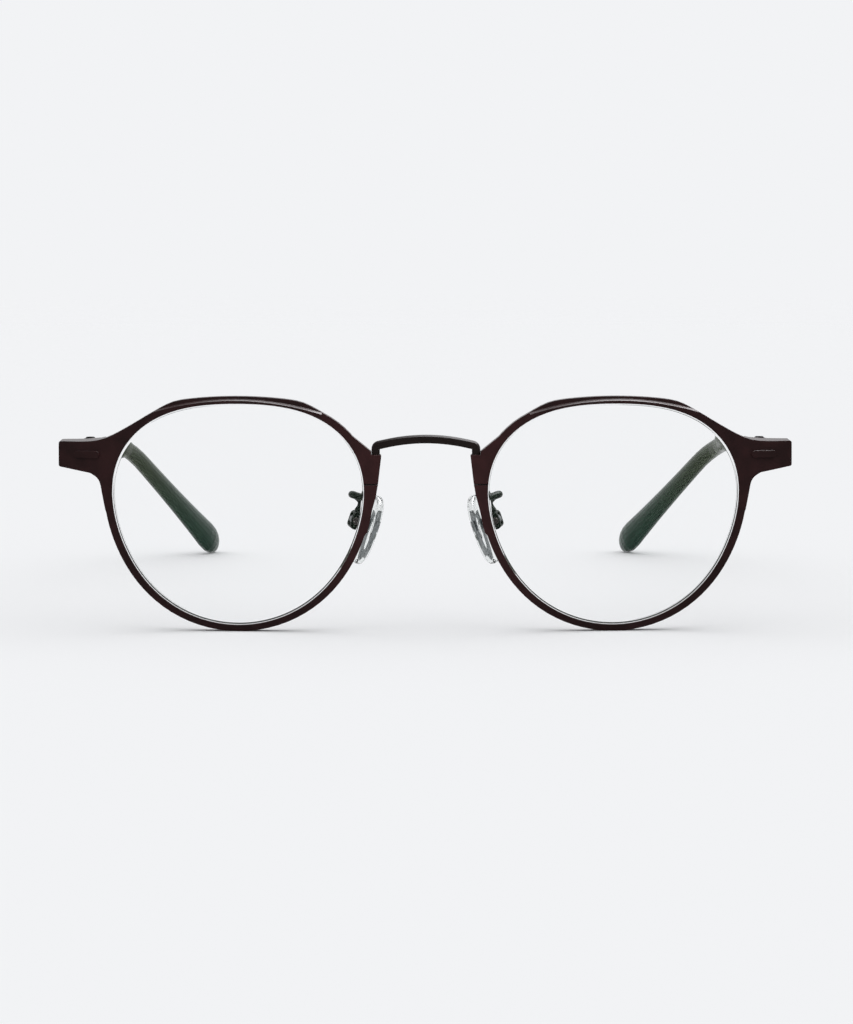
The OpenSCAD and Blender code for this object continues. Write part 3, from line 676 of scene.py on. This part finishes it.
def smoothing():
    group = bpy.data.node_groups.new("smooth_shallow_edges", "GeometryNodeTree")
    for in_out in ("INPUT", "OUTPUT"):
        group.interface.new_socket("Geometry", in_out=in_out, socket_type="NodeSocketGeometry")
    solid = add_node(group, "NodeGroupInput", output="Geometry")
    bend = add_node(group, "GeometryNodeInputMeshEdgeAngle", output="Unsigned Angle")
    shallow = add_node(group, "FunctionNodeCompare", {"operation": "LESS_THAN"}, [bend, shallow_angle])
    faces = add_node(group, "GeometryNodeSetShadeSmooth", None, {"Geometry": solid})
    edges = {"Geometry": faces, "Shade Smooth": shallow}
    smoothed = add_node(group, "GeometryNodeSetShadeSmooth", {"domain": "EDGE"}, edges)
    add_node(group, "NodeGroupOutput", None, {"Geometry": smoothed})
    return group


smooth = smoothing()
finishes = {
    "rim_lock_screw": screw_steel,
    "pad_screw": screw_steel,
    "hinge_screw": dark_screw,
    "pad_core": core_steel,
    "rim_lock_upper": green_lacquer,
    "rim_lock_lower": green_lacquer,
    "pad_arm": green_lacquer,
    "pad_box": green_lacquer,
    "hinge_front": dark_bridge,
    "hinge_temple": dark_bridge,
    "temple_tip": tip_acetate,
    "temple": burgundy,
    "rim": burgundy,
    "bridge": dark_bridge,
    "lens": lens_clear,
    "nose_pad": silicone,
}
for name, node in nodes.items():
    kind = name.removeprefix("left_").removeprefix("right_")
    node.data.materials.clear()
    node.data.materials.append(finishes[kind])
    node.modifiers.new("smooth", "NODES").node_group = smooth
print("finished", len(nodes), "solids")

# %% [markdown]
# ## Studio light
#
# The real glasses were lit by soft light from all round, with one broad light overhead and to
# the right. Area lamps could do it, but their borders would show in the lacquer. In a world the
# light that falls and the light that is mirrored are set apart by plain maths. The first is a
# dome, brightest overhead. The second is the pale background with two things in it: the overhead
# light, which draws the thin lines of light on the crown and the bridge, and a dark card all
# round but behind, which keeps the lacquer deep. Camera and refracted rays see the background
# alone.

# %% Dome, overhead light and dark card
backdrop = colour(242, 243, 245)
dome_low, dome_high = 0.25, 1.32
overhead_level, card_level = 12.0, 0.08
left_border, right_border = (-0.45, 0.35), (1.1, 1.5)
depth_middle, depth_border = 0.15, (0.6, 0.75)
card_open_back, card_open_top = (0.3, 0.8), (0.8, 0.97)
lowest_up = 0.05


def overhead_light(x, y, z):
    """1 towards a broad light on a level ceiling. Its borders are places on a ceiling 1 high."""
    up = z.larger(lowest_up)
    across, back = x / up, y / up
    in_width = across.step(*left_border) * (1 - across.step(*right_border))
    in_depth = 1 - (back - depth_middle).size().step(*depth_border)
    return in_width * in_depth * z.step(lowest_up, 2 * lowest_up)


def dark_card(y, z):
    """1 towards the dark card, which is open to the back and near the top."""
    return (1 - y.step(*card_open_back)) * (1 - z.step(*card_open_top))


def light_world():
    world = bpy.data.worlds.new("pale_studio")
    bpy.context.scene.world = world
    world.use_nodes = True
    tree = world.node_tree
    tree.nodes.clear()
    way = add_node(tree, "ShaderNodeTexCoord", output="Generated")
    x, y, z = (add_node(tree, "ShaderNodeSeparateXYZ", None, [way], axis) for axis in "XYZ")
    lit = dome_low + (dome_high - dome_low) * z.step(0, 1)
    mirrored = 1 - dark_card(y, z) * (1 - card_level) + overhead_light(x, y, z) * overhead_level
    seen, glossy, through = (
        add_node(tree, "ShaderNodeLightPath", output=f"Is {kind} Ray")
        for kind in ("Camera", "Glossy", "Transmission")
    )
    levels = [((1, 1, 1, 1), lit), (backdrop, mirrored), (backdrop, 1)]
    studio, mirror, plain = (
        add_node(tree, "ShaderNodeBackground", None, {"Color": tone, "Strength": level})
        for tone, level in levels
    )
    lights = add_node(tree, "ShaderNodeMixShader", None, [glossy, studio, mirror])
    shown = add_node(tree, "ShaderNodeMixShader", None, [seen.larger(through), lights, plain])
    add_node(tree, "ShaderNodeOutputWorld", None, {"Surface": shown})
    world.cycles.sampling_method = "MANUAL"
    world.cycles.sample_map_resolution = 1024


light_world()
print("dome from", dome_low, "at the horizon to", dome_high, "overhead")

# %% [markdown]
# ## Floor
#
# The glasses stand on a pale floor that runs into a background of the same colour. A curved
# studio sweep would show its bend from the side, so the floor is one large flat sheet that turns
# clear with distance. It catches the object's shadow, and mirrored rays don't see it, because
# the world's dark card stands in for it there.

# %% Floor
floor_reach, solid_until, clear_from = 20000, 400, 1500


def floor_piece():
    f = Finish("pale_floor")
    x, y = f.along("X"), f.along("Y")
    from_middle = (x * x + y * y).root()
    paper = f.shader(
        {"Base Color": backdrop, "Roughness": 0.9 + 0.1 * f.noise(0.5, 3), "Specular IOR Level": 0}
    )
    open_air = f.node("ShaderNodeBsdfTransparent")
    far = from_middle.step(solid_until, clear_from)
    f.close(f.node("ShaderNodeMixShader", None, [far, paper, open_air]))
    mesh = bpy.data.meshes.new("floor")
    reach = floor_reach * MM
    corners = [(-reach, -reach, 0), (reach, -reach, 0), (reach, reach, 0), (-reach, reach, 0)]
    mesh.from_pydata(corners, [], [(0, 1, 2, 3)])
    mesh.materials.append(f.material)
    floor = bpy.data.objects.new("floor", mesh)
    bpy.context.scene.collection.objects.link(floor)
    floor.visible_glossy = False


floor_piece()
print("floor solid for", solid_until, "mm round the middle")

# %% [markdown]
# ## Camera
#
# The picture was taken from well in front, a little above the frame: one sees a sliver of the
# endpieces' top faces, and the tips stand on the floor higher up in the picture than the rims.
# From those heights the camera looks down 5.7 degrees from 0.7 metres. A camera straight in
# front would be simpler, but this one stands slightly to one side, so that both tips show at
# the places where the picture has them.

# %% Camera
image_height = 1024
focal_pixels = 3753
shift_right, shift_up = 0.5, 3
distance, look_down, look_across = 700, math.radians(5.7), math.radians(0.63)
aim_up = 22
aim = Vector((0, lens_y, aim_up)) * MM

camera_data = bpy.data.cameras.new("camera")
camera_data.sensor_width = 36
camera_data.lens = focal_pixels / image_height * camera_data.sensor_width
camera_data.shift_x, camera_data.shift_y = shift_right / image_height, shift_up / image_height
camera_data.clip_start, camera_data.clip_end = 0.05, 100
camera = bpy.data.objects.new("camera", camera_data)
bpy.context.scene.collection.objects.link(camera)
from_front = Vector((-math.sin(look_across), -math.cos(look_across), math.tan(look_down)))
camera.location = aim + from_front.normalized() * distance * MM
camera.rotation_mode = "QUATERNION"
camera.rotation_quaternion = (aim - camera.location).to_track_quat("-Z", "Y")
bpy.context.scene.camera = camera
bpy.context.scene.view_settings.view_transform = "Standard"
print("camera at", [round(v, 3) for v in camera.location])
